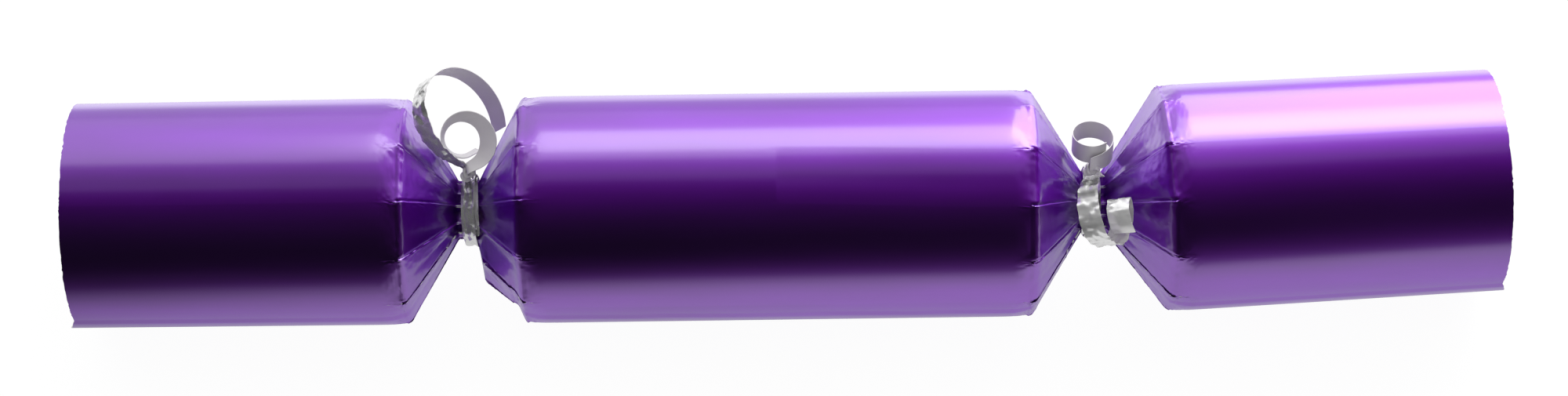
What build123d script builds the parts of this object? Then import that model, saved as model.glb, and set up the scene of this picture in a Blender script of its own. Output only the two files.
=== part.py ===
from build123d import *
from math import cos, sin, radians
import os

os.makedirs("parts", exist_ok=True)

# Outer foil wrap, measured in millimetres on a twelve inch cracker
barrel_radius = 24.3
left_taper = 0.25
right_taper = 0.5
barrel_length = 108.0
end_length = 70.6
wrap_wall = 0.45
facets = 12
facet_turn = 7.5
flattening = 5.0

# Necks: how far each tie stands from the barrel edges on both sides of it
left_inner_neck = 12.0
left_outer_neck = 14.0
right_inner_neck = 13.5
right_outer_neck = 16.2
right_swing = 2.7

# Gathered bundle of pleats under the tie, and the torn line of perforations through it
pleat_tip = 6.3
pleat_valley = 4.6
hollow_tip = 5.0
hollow_valley = 3.6
bundle_inside = 2.0
bundle_outside = 3.0
hollow_step = 0.6
tear_gap = 1.2

# Lapped seam of the wrap on its front side
seam_angle = -9.0
seam_lap = 22.0
seam_rise = 0.3
seam_bite = 0.2
seam_tab = 2.6

# Card stiffener tubes
tube_wall = 0.8
tube_fit = 0.15
tube_setback = 1.0

# Snap: two card strips that lap in a paper sleeve
snap_length = 280.0
snap_lap = 34.0
strip_width = 7.0
strip_thick = 0.4
strip_spacing = 0.3
dab_length = 7.0
dab_width = 5.0
dab_thick = 0.12
dab_offset = 6.0
sleeve_length = 24.0
sleeve_wall = 0.3
sleeve_fit = 0.2
slot_side_fit = 0.45
slot_face_fit = 0.3

# Curling ribbon
ribbon_width = 5.0
ribbon_thick = 0.25
band_width = 3.4
band_turns = 2
band_pitch = 0.7
band_fit = 0.35
knot_length = 4.4
knot_width = 4.0
knot_height = 3.0
knot_round = 1.1
knot_gap = 0.1
view_tilt = 63.0
curl_steps = 25

# Contents of the barrel
hat_length = 56.0
hat_core = 2.2
hat_turns = 4
hat_sheet = 0.5
hat_pitch = 1.0
hat_start = -48.0
hat_angle = -122.0
elastic_wire = 1.0
elastic_fit = 0.1
motto_length = 60.0
motto_arc = 52.0
motto_sheet = 0.25
motto_angle = -52.0
top_thick = 6.0
top_peg_radius = 1.5
top_peg_length = 20.0
top_tip = 4.0
top_x = 22.0
top_clearance = 1.9
rest_gap = 0.2

step = 180.0 / facets
axis_height = barrel_radius * cos(radians(step / 2))
left_mouth_radius = barrel_radius - left_taper
right_mouth_radius = barrel_radius - right_taper
left_tie = -barrel_length / 2 - left_inner_neck
right_tie = barrel_length / 2 + right_inner_neck
left_fold = left_tie - left_outer_neck
right_fold = right_tie + right_outer_neck
left_mouth = left_fold - end_length
right_mouth = right_fold + end_length


def across(x, tie=0.0, swing=0.0):
    # Plane square to the axis: its own x looks to the front, its own y looks up
    turn = radians(swing)
    run = x - tie
    spot = (tie + run * cos(turn), run * sin(turn), axis_height)
    return Plane(origin=spot, x_dir=(sin(turn), -cos(turn), 0), z_dir=(-cos(turn), -sin(turn), 0))


def spoke(radius, degrees):
    return (radius * cos(radians(degrees)), radius * sin(radians(degrees)))


def round_outline(plane, radius):
    # A circle in arcs, with one chord at the bottom that the barrel has settled on
    bottom = 2 * facets - 7
    with BuildSketch(plane) as outline:
        with BuildLine():
            for k in range(2 * facets):
                a = facet_turn + k * step
                start = spoke(radius, a)
                end = spoke(radius, a + step)
                if k == bottom:
                    Line(start, end)
                else:
                    ThreePointArc(start, spoke(radius, a + step / 2), end)
        make_face()
    return outline.sketch


def pleat_outline(plane, tip, valley):
    # Mountain creases on the facet corners and valley creases between them
    ring = []
    for k in range(2 * facets):
        ring.append(spoke(tip if k % 2 == 0 else valley, facet_turn + k * step))
    with BuildSketch(plane) as outline:
        with BuildLine():
            Polyline(*ring, close=True)
        make_face()
    return outline.sketch


def fold_outline(plane, radius):
    return pleat_outline(plane, radius, radius * cos(radians(step)))


def form(sections):
    with BuildPart() as shape:
        loft(sections, ruled=True)
    return shape.part


def slope_wall(neck, bundle):
    # Wall of a neck measured square to the axis
    run = neck - bundle
    rise = barrel_radius - pleat_tip
    return wrap_wall * (run ** 2 + rise ** 2) ** 0.5 / run


def end_wrap(side, tie, swing, neck, mouth_radius, strip_level):
    fold = tie + side * neck
    mouth = fold + side * end_length
    tear = tie + side * tear_gap / 2
    bundle = tie + side * bundle_outside
    settle = fold + side * flattening
    thin = slope_wall(neck, bundle_outside)
    outside = [
        round_outline(across(mouth, tie, swing), mouth_radius),
        round_outline(across(settle, tie, swing), barrel_radius),
        fold_outline(across(fold, tie, swing), barrel_radius),
        pleat_outline(across(bundle, tie, swing), pleat_tip, pleat_valley),
        pleat_outline(across(tear, tie, swing), pleat_tip, pleat_valley),
    ]
    inside = [
        round_outline(across(mouth + side * 2 * seam_tab, tie, swing), mouth_radius - wrap_wall),
        round_outline(across(settle, tie, swing), barrel_radius - wrap_wall),
        fold_outline(across(fold, tie, swing), barrel_radius - thin),
        pleat_outline(across(bundle + side * hollow_step, tie, swing), hollow_tip, hollow_valley),
    ]
    lap = seam_lap_form(settle, mouth + side * seam_tab, tie, swing, barrel_radius, mouth_radius)
    with BuildPart() as wrap:
        add(form(outside))
        add(lap)
        add(tab_trim(side, mouth, tie, swing, mouth_radius), mode=Mode.SUBTRACT)
        add(form(inside), mode=Mode.SUBTRACT)
        add(strip_slot(tie, side, strip_level, swing), mode=Mode.SUBTRACT)
    return wrap.part


def lap_outline(plane, radius):
    low = seam_angle - seam_lap
    with BuildSketch(plane) as outline:
        with BuildLine():
            r_in = radius - seam_bite
            r_out = radius + seam_rise
            mid = (low + seam_angle) / 2
            ThreePointArc(spoke(r_out, low), spoke(r_out, mid), spoke(r_out, seam_angle))
            Line(spoke(r_out, seam_angle), spoke(r_in, seam_angle))
            ThreePointArc(spoke(r_in, seam_angle), spoke(r_in, mid), spoke(r_in, low))
            Line(spoke(r_in, low), spoke(r_out, low))
        make_face()
    return outline.sketch


def seam_lap_form(near, far, tie, swing, near_radius, far_radius):
    return form([
        lap_outline(across(near, tie, swing), near_radius),
        lap_outline(across(far, tie, swing), far_radius),
    ])


def tab_trim(side, mouth, tie, swing, mouth_radius):
    # Slanting cut that leaves a pointed corner of the lap sticking out of the mouth
    rim = across(mouth, tie, swing)
    half = radians(seam_lap) * mouth_radius * 0.55
    middle = radians(seam_angle - seam_lap / 2)
    way = rim.x_dir * cos(middle) + Vector(0, 0, 1) * sin(middle)
    reach = 2 * seam_tab
    with BuildPart() as wedge:
        with BuildSketch(Plane(origin=rim.origin, x_dir=rim.z_dir * -side, z_dir=way)):
            with BuildLine():
                Polyline((0, side * half), (reach, side * half), (reach, -3 * side * half), close=True)
            make_face()
        extrude(amount=2 * mouth_radius)
    return wedge.part


def strip_slot(tie, side, level, swing):
    # Way through the pleats for one card strip of the snap
    start = tie - side * (bundle_inside + 2 * hollow_step)
    reach = bundle_inside + bundle_outside + 4 * hollow_step
    with BuildPart() as slot:
        with BuildSketch(across(start, tie, swing)):
            with Locations((0, level)):
                Rectangle(strip_width + 2 * slot_side_fit, strip_thick + 2 * slot_face_fit)
        extrude(amount=-side * reach)
    return slot.part


left_level = (strip_spacing + strip_thick) / 2
right_level = -left_level

# Left end, centre and right end of the foil wrap
with BuildPart() as left_end_wrap:
    add(end_wrap(-1, left_tie, 0.0, left_outer_neck, left_mouth_radius, left_level))
left_end_wrap.part.label = "left_end_wrap"
export_step(left_end_wrap.part, "parts/left_end_wrap.step")

with BuildPart() as right_end_wrap:
    add(end_wrap(1, right_tie, right_swing, right_outer_neck, right_mouth_radius, right_level))
right_end_wrap.part.label = "right_end_wrap"
export_step(right_end_wrap.part, "parts/right_end_wrap.step")

left_edge = -barrel_length / 2
right_edge = barrel_length / 2
centre_outside = [
    pleat_outline(across(left_tie + tear_gap / 2), pleat_tip, pleat_valley),
    pleat_outline(across(left_tie + bundle_inside), pleat_tip, pleat_valley),
    fold_outline(across(left_edge), barrel_radius),
    round_outline(across(left_edge + flattening), barrel_radius),
    round_outline(across(right_edge - flattening), barrel_radius),
    fold_outline(across(right_edge), barrel_radius),
    pleat_outline(across(right_tie - bundle_inside), pleat_tip, pleat_valley),
    pleat_outline(across(right_tie - tear_gap / 2), pleat_tip, pleat_valley),
]
left_thin = slope_wall(left_inner_neck, bundle_inside)
right_thin = slope_wall(right_inner_neck, bundle_inside)
centre_inside = [
    pleat_outline(across(left_tie + bundle_inside + hollow_step), hollow_tip, hollow_valley),
    fold_outline(across(left_edge), barrel_radius - left_thin),
    round_outline(across(left_edge + flattening), barrel_radius - wrap_wall),
    round_outline(across(right_edge - flattening), barrel_radius - wrap_wall),
    fold_outline(across(right_edge), barrel_radius - right_thin),
    pleat_outline(across(right_tie - bundle_inside - hollow_step), hollow_tip, hollow_valley),
]
with BuildPart() as centre_wrap:
    add(form(centre_outside))
    add(seam_lap_form(left_edge + flattening, right_edge - flattening, 0, 0, barrel_radius, barrel_radius))
    add(form(centre_inside), mode=Mode.SUBTRACT)
    add(strip_slot(left_tie, -1, left_level, 0.0), mode=Mode.SUBTRACT)
    add(strip_slot(right_tie, 1, right_level, 0.0), mode=Mode.SUBTRACT)
centre_wrap.part.label = "centre_wrap"
export_step(centre_wrap.part, "parts/centre_wrap.step")


# Card tubes that keep the three barrels round
def card_tube(near, far, tie, swing, smallest_radius):
    radius = smallest_radius * cos(radians(step / 2)) - wrap_wall - tube_fit
    with BuildPart() as tube:
        with BuildSketch(across(near, tie, swing)):
            Circle(radius)
            Circle(radius - tube_wall, mode=Mode.SUBTRACT)
        extrude(amount=near - far)
    return tube.part


with BuildPart() as left_end_tube:
    add(card_tube(left_fold - flattening, left_mouth + tube_setback, left_tie, 0.0, left_mouth_radius))
left_end_tube.part.label = "left_end_tube"
export_step(left_end_tube.part, "parts/left_end_tube.step")

with BuildPart() as centre_tube:
    add(card_tube(right_edge - flattening, left_edge + flattening, 0.0, 0.0, barrel_radius))
centre_tube.part.label = "centre_tube"
export_step(centre_tube.part, "parts/centre_tube.step")

with BuildPart() as right_end_tube:
    tube_start = right_mouth - tube_setback
    add(card_tube(tube_start, right_fold + flattening, right_tie, right_swing, right_mouth_radius))
right_end_tube.part.label = "right_end_tube"
export_step(right_end_tube.part, "parts/right_end_tube.step")


# Snap with its two strips, the dab of charge, the rough pad and the sleeve
def level_box(x_low, x_high, width, z_low, z_high):
    with BuildPart() as block:
        with BuildSketch(Plane.XY.offset(axis_height + z_low)):
            with Locations(((x_low + x_high) / 2, 0)):
                Rectangle(x_high - x_low, width)
        extrude(amount=z_high - z_low)
    return block.part


half_gap = strip_spacing / 2
strip_top = half_gap + strip_thick
with BuildPart() as snap_strip_left:
    add(level_box(-snap_length / 2, snap_lap / 2, strip_width, half_gap, strip_top))
snap_strip_left.part.label = "snap_strip_left"
export_step(snap_strip_left.part, "parts/snap_strip_left.step")

with BuildPart() as snap_strip_right:
    add(level_box(-snap_lap / 2, snap_length / 2, strip_width, -strip_top, -half_gap))
snap_strip_right.part.label = "snap_strip_right"
export_step(snap_strip_right.part, "parts/snap_strip_right.step")

with BuildPart() as snap_charge:
    near = dab_offset - dab_length / 2
    add(level_box(near, near + dab_length, dab_width, half_gap - dab_thick, half_gap))
snap_charge.part.label = "snap_charge"
export_step(snap_charge.part, "parts/snap_charge.step")

with BuildPart() as snap_friction_pad:
    near = -dab_offset - dab_length / 2
    add(level_box(near, near + dab_length, dab_width, -half_gap, dab_thick - half_gap))
snap_friction_pad.part.label = "snap_friction_pad"
export_step(snap_friction_pad.part, "parts/snap_friction_pad.step")

with BuildPart() as snap_sleeve:
    hole_width = strip_width + 2 * sleeve_fit
    hole_height = 2 * strip_top + 2 * sleeve_fit
    with BuildSketch(across(sleeve_length / 2)):
        Rectangle(hole_width + 2 * sleeve_wall, hole_height + 2 * sleeve_wall)
        Rectangle(hole_width, hole_height, mode=Mode.SUBTRACT)
    extrude(amount=sleeve_length)
snap_sleeve.part.label = "snap_sleeve"
export_step(snap_sleeve.part, "parts/snap_sleeve.step")

# Directions of the ribbon bows: along the cracker, up its slope, and out of that slope
along = Vector(1, 0, 0)
rise_way = Vector(0, sin(radians(view_tilt)), cos(radians(view_tilt)))
out_way = Vector(0, -cos(radians(view_tilt)), sin(radians(view_tilt)))
band_start = pleat_tip + band_fit + ribbon_thick / 2
band_outer = band_start + band_turns * band_pitch + ribbon_thick / 2


def knot_way(lean):
    return rise_way * cos(radians(lean)) + out_way * sin(radians(lean))


def tie_band(tie, lean):
    # Winding of the ribbon: half turns that grow by half a pitch, the last one ending at the knot
    middle = Vector(tie + band_width / 2, 0, axis_height)
    spot = Plane(origin=middle, x_dir=knot_way(lean), z_dir=(-1, 0, 0))
    with BuildPart() as band:
        with BuildSketch(spot):
            with BuildLine():
                for k in range(band_turns):
                    CenterArc((0, 0), band_start + k * band_pitch, 0, 180)
                    CenterArc((band_pitch / 2, 0), band_start + (k + 0.5) * band_pitch, 180, 180)
            trace(line_width=ribbon_thick)
        extrude(amount=band_width)
    return band.part


def tie_knot(tie, lean):
    seat = Vector(tie, 0, axis_height) + knot_way(lean) * (band_outer + knot_gap)
    with BuildPart() as knot:
        with BuildSketch(Plane(origin=seat, x_dir=(1, 0, 0), z_dir=knot_way(lean))):
            Rectangle(knot_width, knot_length)
        extrude(amount=knot_height)
        fillet(knot.edges(), knot_round)
    return knot.part


def curl_line(share, start, tilt, turn, first_radius, radius, angle, sweep, drift, lean, roll):
    # Middle line and width direction of one curl at a share of its length
    t, s = radians(tilt), radians(turn)
    pole = (out_way * cos(t) + along * sin(t)) * cos(s) + rise_way * sin(s)
    side = along * cos(t) - out_way * sin(t)
    up = pole.cross(side)

    def place(q):
        a = radians(angle + sweep * q)
        r = radius + (first_radius - radius) * (1 - q) ** 4
        spread = side * cos(a) + up * sin(a)
        return spread, spread * r + pole * (drift * q) + out_way * (lean * 4 * q * (1 - q))

    origin = Vector(0, 0, axis_height) + along * start[0] + rise_way * start[1] + out_way * start[2]
    spread, spot = place(share)
    turned = radians(roll[0] + (roll[1] - roll[0]) * share)
    return origin + spot - place(0)[1], pole * cos(turned) + spread * sin(turned)


left_long = dict(start=(-67.4, 9.6, 6.6), tilt=41, turn=17, first_radius=11.7, radius=10.1,
                 angle=-106, sweep=-270, drift=-1.4, lean=11.4, roll=(0, 0))
left_short = dict(start=(-65.6, 9.2, 7.4), tilt=14.5, turn=-1.6, first_radius=6.4, radius=4.3,
                  angle=-84.6, sweep=392, drift=-7.2, lean=3.8, roll=(43.3, 6.2))
right_upper = dict(start=(67.6, 8.1, 9.65), tilt=0, turn=44, first_radius=5.2, radius=4.3,
                   angle=-90, sweep=400, drift=2.0, lean=0, roll=(0, 0))
right_lower = dict(start=(68.8, 5.3, 8.84), tilt=65, turn=3, first_radius=11.0, radius=4.5,
                   angle=60, sweep=520, drift=8.2, lean=3, roll=(0, 0))


def report_curl(name, shape):
    # Length of the middle line and the least gap of the strip to itself
    count = 120
    points = [curl_line(k / count, **shape) for k in range(count + 1)]
    length = sum((points[k + 1][0] - points[k][0]).length for k in range(count))
    gap = ribbon_width * 10
    for i in range(0, count, 2):
        for j in range(i + 30, count + 1, 2):
            for a in (-0.5, -0.25, 0, 0.25, 0.5):
                near = points[i][0] + points[i][1] * (a * ribbon_width)
                away = near - points[j][0]
                b = max(-ribbon_width / 2, min(ribbon_width / 2, away.dot(points[j][1])))
                gap = min(gap, (away - points[j][1] * b).length - ribbon_thick)
    print(name, "radius", shape["radius"], "length", round(length, 1), "gap to itself", round(gap, 2))


def curl(shape):
    sections = []
    for k in range(curl_steps):
        share = k / (curl_steps - 1)
        spot, wide = curl_line(share, **shape)
        before = curl_line(max(0.0, share - 0.002), **shape)[0]
        after = curl_line(min(1.0, share + 0.002), **shape)[0]
        run = (after - before).normalized()
        with BuildSketch(Plane(origin=spot, x_dir=wide, z_dir=run)) as outline:
            Rectangle(ribbon_width, ribbon_thick)
        sections.append(outline.sketch)
    with BuildPart() as strip:
        loft(sections)
    return strip.part


left_lean = 34.0
right_lean = 43.0

with BuildPart() as left_tie_band:
    add(tie_band(left_tie, left_lean))
left_tie_band.part.label = "left_tie_band"
export_step(left_tie_band.part, "parts/left_tie_band.step")

with BuildPart() as right_tie_band:
    add(tie_band(right_tie, right_lean))
right_tie_band.part.label = "right_tie_band"
export_step(right_tie_band.part, "parts/right_tie_band.step")

with BuildPart() as left_tie_knot:
    add(tie_knot(left_tie, left_lean))
left_tie_knot.part.label = "left_tie_knot"
export_step(left_tie_knot.part, "parts/left_tie_knot.step")

with BuildPart() as right_tie_knot:
    add(tie_knot(right_tie, right_lean))
right_tie_knot.part.label = "right_tie_knot"
export_step(right_tie_knot.part, "parts/right_tie_knot.step")

with BuildPart() as left_long_curl:
    add(curl(left_long))
left_long_curl.part.label = "left_long_curl"
export_step(left_long_curl.part, "parts/left_long_curl.step")

with BuildPart() as left_short_curl:
    add(curl(left_short))
left_short_curl.part.label = "left_short_curl"
export_step(left_short_curl.part, "parts/left_short_curl.step")

with BuildPart() as right_upper_curl:
    add(curl(right_upper))
right_upper_curl.part.label = "right_upper_curl"
export_step(right_upper_curl.part, "parts/right_upper_curl.step")

with BuildPart() as right_lower_curl:
    add(curl(right_lower))
right_lower_curl.part.label = "right_lower_curl"
export_step(right_lower_curl.part, "parts/right_lower_curl.step")

# Paper hat rolled up in its elastic band, on the floor of the barrel
bore = barrel_radius * cos(radians(step / 2)) - wrap_wall - tube_fit - tube_wall
hat_outer = hat_core + hat_turns * hat_pitch + hat_sheet / 2
elastic_inner = hat_outer + elastic_fit
hat_seat = spoke(bore - rest_gap - elastic_inner - elastic_wire, hat_angle)


def beside(x, spot):
    plane = across(x)
    return Plane(origin=plane.from_local_coords((spot[0], spot[1], 0)), x_dir=plane.x_dir, z_dir=plane.z_dir)


with BuildPart() as paper_hat:
    with BuildSketch(beside(hat_start + hat_length, hat_seat)):
        with BuildLine():
            for k in range(hat_turns):
                CenterArc((0, 0), hat_core + k * hat_pitch, 0, 180)
                CenterArc((hat_pitch / 2, 0), hat_core + (k + 0.5) * hat_pitch, 180, 180)
        trace(line_width=hat_sheet)
    extrude(amount=hat_length)
paper_hat.part.label = "paper_hat"
export_step(paper_hat.part, "parts/paper_hat.step")

with BuildPart() as hat_elastic:
    with BuildSketch(beside(hat_start + hat_length / 2 + elastic_wire / 2, hat_seat)):
        Circle(elastic_inner + elastic_wire)
        Circle(elastic_inner, mode=Mode.SUBTRACT)
    extrude(amount=elastic_wire)
hat_elastic.part.label = "hat_elastic"
export_step(hat_elastic.part, "parts/hat_elastic.step")

with BuildPart() as motto_slip:
    with BuildSketch(across(hat_start + motto_length)):
        with BuildLine():
            low = motto_angle - motto_arc / 2
            CenterArc((0, 0), bore - rest_gap - motto_sheet / 2, low, motto_arc)
        trace(line_width=motto_sheet)
    extrude(amount=motto_length)
motto_slip.part.label = "motto_slip"
export_step(motto_slip.part, "parts/motto_slip.step")

# Gift: a small spinning top lying on its rim
top_radius = (bore - rest_gap - strip_top - top_clearance) / 2
top_seat = (0, -(bore - rest_gap - top_radius))
with BuildPart() as gift_top:
    with BuildSketch(beside(top_x + top_thick, top_seat)):
        Circle(top_radius)
        Circle(top_peg_radius, mode=Mode.SUBTRACT)
    extrude(amount=top_thick)
    chamfer(gift_top.edges().filter_by(GeomType.CIRCLE).sort_by(SortBy.RADIUS)[-1], top_thick / 3)
gift_top.part.label = "gift_top"
export_step(gift_top.part, "parts/gift_top.step")

with BuildPart() as gift_peg:
    peg_far = top_x - top_tip + top_peg_length
    with BuildSketch(beside(peg_far, top_seat)):
        Circle(top_peg_radius)
    extrude(amount=top_peg_length)
    chamfer(gift_peg.faces().sort_by(Axis.X)[0].edges(), top_peg_radius * 0.7)
gift_peg.part.label = "gift_peg"
export_step(gift_peg.part, "parts/gift_peg.step")

for name, shape in (("left long curl", left_long), ("left short curl", left_short),
                    ("right upper curl", right_upper), ("right lower curl", right_lower)):
    report_curl(name, shape)
print("tie band radius", round(band_start, 2), "to", round(band_outer, 2),
      "gap between turns", round(band_pitch - ribbon_thick, 2))
print("hat roll radius", round(hat_core, 2), "to", round(hat_outer, 2),
      "gap between turns", round(hat_pitch - hat_sheet, 2))
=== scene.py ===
import bpy, bmesh, math
from mathutils import Matrix, Vector


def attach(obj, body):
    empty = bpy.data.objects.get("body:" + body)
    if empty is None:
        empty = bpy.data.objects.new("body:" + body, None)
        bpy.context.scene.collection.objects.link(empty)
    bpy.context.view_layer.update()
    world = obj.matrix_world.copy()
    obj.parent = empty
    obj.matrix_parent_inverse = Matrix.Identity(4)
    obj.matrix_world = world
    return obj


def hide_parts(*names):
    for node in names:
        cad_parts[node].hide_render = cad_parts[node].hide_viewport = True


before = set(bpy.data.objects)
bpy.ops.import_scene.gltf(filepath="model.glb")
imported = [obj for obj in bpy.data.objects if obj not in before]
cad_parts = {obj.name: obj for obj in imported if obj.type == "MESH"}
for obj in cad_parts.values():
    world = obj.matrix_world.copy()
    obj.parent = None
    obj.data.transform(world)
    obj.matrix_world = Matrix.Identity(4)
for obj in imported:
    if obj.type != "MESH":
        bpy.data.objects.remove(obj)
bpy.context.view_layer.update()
scene = bpy.context.scene
mm = 0.001
wrapRadius = 24.3  # of the foil on the barrels, in mm
lowCorner = 7.5  # degrees from straight down to either edge of the flat that they rest on
axisHeight = wrapRadius * math.cos(math.radians(lowCorner))  # middle of the barrels above the table, in mm
tieX = {"left": -66.0, "right": 67.5}  # middles of the ties, in mm
crispAngle = math.radians(48)  # edges sharper than this stay crisp
seedSpread = 50.0  # range of the random starts in a noise


class Wire:  # a socket that takes Python maths, one Math node a step
    def __init__(self, board, socket):
        self.board, self.socket = board, socket

    def maths(self, operation, *others):
        return self.board.node("ShaderNodeMath", {"operation": operation}, [self, *others])

    def flipped(self, operation, other):
        return self.board.node("ShaderNodeMath", {"operation": operation}, [other, self])

    def __add__(self, other):
        return self.maths("ADD", other)

    def __radd__(self, other):
        return self.flipped("ADD", other)

    def __sub__(self, other):
        return self.maths("SUBTRACT", other)

    def __rsub__(self, other):
        return self.flipped("SUBTRACT", other)

    def __mul__(self, other):
        return self.maths("MULTIPLY", other)

    def __rmul__(self, other):
        return self.flipped("MULTIPLY", other)

    def __truediv__(self, other):
        return self.maths("DIVIDE", other)

    def __pow__(self, other):
        return self.maths("POWER", other)

    def least(self, other):
        return self.maths("MINIMUM", other)

    def most(self, other):
        return self.maths("MAXIMUM", other)

    def size(self):
        return self.maths("ABSOLUTE")

    def whole(self):
        return self.maths("FLOOR")

    def sine(self):
        return self.maths("SINE")

    def cosine(self):
        return self.maths("COSINE")

    def above(self, level):
        return self.maths("GREATER_THAN", level)

    def held(self):
        return self.most(0.0).least(1.0)

    def span(self, low, high, start=0.0, end=1.0, soft=False):  # map one range on another, held at its ends
        kind = "SMOOTHSTEP" if soft else "LINEAR"
        return self.board.node("ShaderNodeMapRange", {"interpolation_type": kind},
                               [self, low, high, start, end])

    def hump(self, middle, width):  # 1 in the middle, 0 at a width to both sides
        return self.board.node("ShaderNodeMapRange", {"interpolation_type": "SMOOTHSTEP"},
                               [(self - middle).size(), 0.0, width, 1.0, 0.0])


class Board:  # one node tree
    def __init__(self, tree):
        self.tree = tree

    def node(self, kind, settings=None, inputs=(), out=0):
        made = self.tree.nodes.new(kind)
        for key, value in (settings or {}).items():
            if key == "items":
                while len(made.index_switch_items) < value:
                    made.index_switch_items.new()
            else:
                setattr(made, key, value)
        for key, value in (inputs.items() if isinstance(inputs, dict) else enumerate(inputs)):
            if isinstance(value, Wire):
                self.tree.links.new(value.socket, made.inputs[key])
            elif value is not None:
                made.inputs[key].default_value = value
        return Wire(self, made.outputs[out])

    def parts(self, vector):
        split = self.node("ShaderNodeSeparateXYZ", None, [vector]).socket.node
        return [Wire(self, socket) for socket in split.outputs]

    def vector(self, x, y, z):
        return self.node("ShaderNodeCombineXYZ", None, [x, y, z])

    def mixed(self, share, one, other):
        return self.node("ShaderNodeMix", {"data_type": "RGBA"}, {0: share, 6: one, 7: other}, 2)

    def noise(self, place, scale, detail=2.0, rough=0.5):
        return self.node("ShaderNodeTexNoise", None,
                         {"Vector": place, "Scale": scale, "Detail": detail, "Roughness": rough}, "Fac")

    def stretched(self, place, sizes):
        return self.node("ShaderNodeMapping", None, {"Vector": place, "Scale": sizes})

    def table(self, index, values):  # one number for each pleat
        inputs = {0: index}
        inputs.update({k + 1: value for k, value in enumerate(values)})
        return self.node("GeometryNodeIndexSwitch", {"data_type": "FLOAT", "items": len(values)}, inputs)


def newMaterial(name, base, **sockets):
    material = bpy.data.materials.new(name)
    material.use_nodes = True
    board = Board(material.node_tree)
    shader = material.node_tree.nodes["Principled BSDF"]
    shader.inputs["Base Color"].default_value = (*base, 1.0)
    for key, value in sockets.items():
        shader.inputs[key.replace("_", " ")].default_value = value
    place = board.node("ShaderNodeTexCoord", None, (), "Object")
    return material, board, shader, place


def feed(board, shader, **wires):
    for key, wire in wires.items():
        board.tree.links.new(wire.socket, shader.inputs[key.replace("_", " ")])


def bumped(board, height, depth, strength):
    return board.node("ShaderNodeBump", None, {"Height": height, "Distance": depth, "Strength": strength})


def geometryTree(name, inputs, source=False):
    tree = bpy.data.node_groups.new(name, "GeometryNodeTree")
    kinds = {float: "NodeSocketFloat", int: "NodeSocketInt"}
    if source:
        tree.interface.new_socket("Geometry", in_out="INPUT", socket_type="NodeSocketGeometry")
    for key, value in inputs.items():
        kind = kinds.get(type(value), "NodeSocketMaterial")
        socket = tree.interface.new_socket(key, in_out="INPUT", socket_type=kind)
        if value is not None:
            socket.default_value = value
    tree.interface.new_socket("Geometry", in_out="OUTPUT", socket_type="NodeSocketGeometry")
    board = Board(tree)
    entry = tree.nodes.new("NodeGroupInput")
    return board, {socket.name: Wire(board, socket) for socket in entry.outputs if socket.name}


def endTree(board, geometry, material):
    realized = board.node("GeometryNodeRealizeInstances", None, [geometry])
    painted = board.node("GeometryNodeSetMaterial", None, {"Geometry": realized, "Material": material})
    leave = board.tree.nodes.new("NodeGroupOutput")
    board.tree.links.new(painted.socket, leave.inputs[0])


def grown(name, tree, values, source=None):  # run a tree and keep its result as a plain mesh
    mesh = source or bpy.data.meshes.new(name + "_seed")
    holder = bpy.data.objects.new(name + "_holder", mesh)
    scene.collection.objects.link(holder)
    modifier = holder.modifiers.new("grow", "NODES")
    modifier.node_group = tree
    for socket in tree.interface.items_tree:
        if socket.in_out == "INPUT" and socket.name in values:
            modifier[socket.identifier] = values[socket.name]
    shape = bpy.data.meshes.new_from_object(holder.evaluated_get(bpy.context.evaluated_depsgraph_get()))
    bpy.data.objects.remove(holder)
    bpy.data.meshes.remove(mesh)
    shape.name = name
    return shape


def placed(name, mesh, body, nodes):
    piece = bpy.data.objects.new(name, mesh)
    scene.collection.objects.link(piece)
    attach(piece, body)
    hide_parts(*nodes)
    return piece


def finished(name, mesh, modifiers):  # bake modifiers into a mesh
    holder = bpy.data.objects.new(name + "_holder", mesh)
    scene.collection.objects.link(holder)
    for kind, settings in modifiers:
        modifier = holder.modifiers.new(kind.lower(), kind)
        for key, value in settings.items():
            setattr(modifier, key, value)
    shape = bpy.data.meshes.new_from_object(holder.evaluated_get(bpy.context.evaluated_depsgraph_get()))
    bpy.data.objects.remove(holder)
    shape.set_sharp_from_angle(angle=crispAngle)
    shape.name = name
    return shape


# finishes

# the chokes' tint is a lighter, whiter copy of the foil's tint: a painted sheen
foilLook = {"tint": (0.32, 0.01, 0.74), "neckSheenTint": (0.56, 0.25, 0.88), "edge": (0.43, 0.17, 0.74),
            "deep": 0.82, "barrelRough": 0.55, "neckRough": 0.05, "mottle": 0.05, "coatRough": 0.2,
            "coatIor": 2.35, "neckCoat": 0.1, "broad": (25, 90, 90), "streak": (60, 700, 700), "fine": 900.0,
            "crumple": 260.0, "crinkle": 230.0, "rayTurn": 7.0, "rayRun": 45.0, "bumpDepth": 0.00012,
            "bumpStrength": 0.7, "heights": {"crumple": 0.5, "rays": 1.1, "crinkle": 0.08, "fine": 0.02}}


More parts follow.
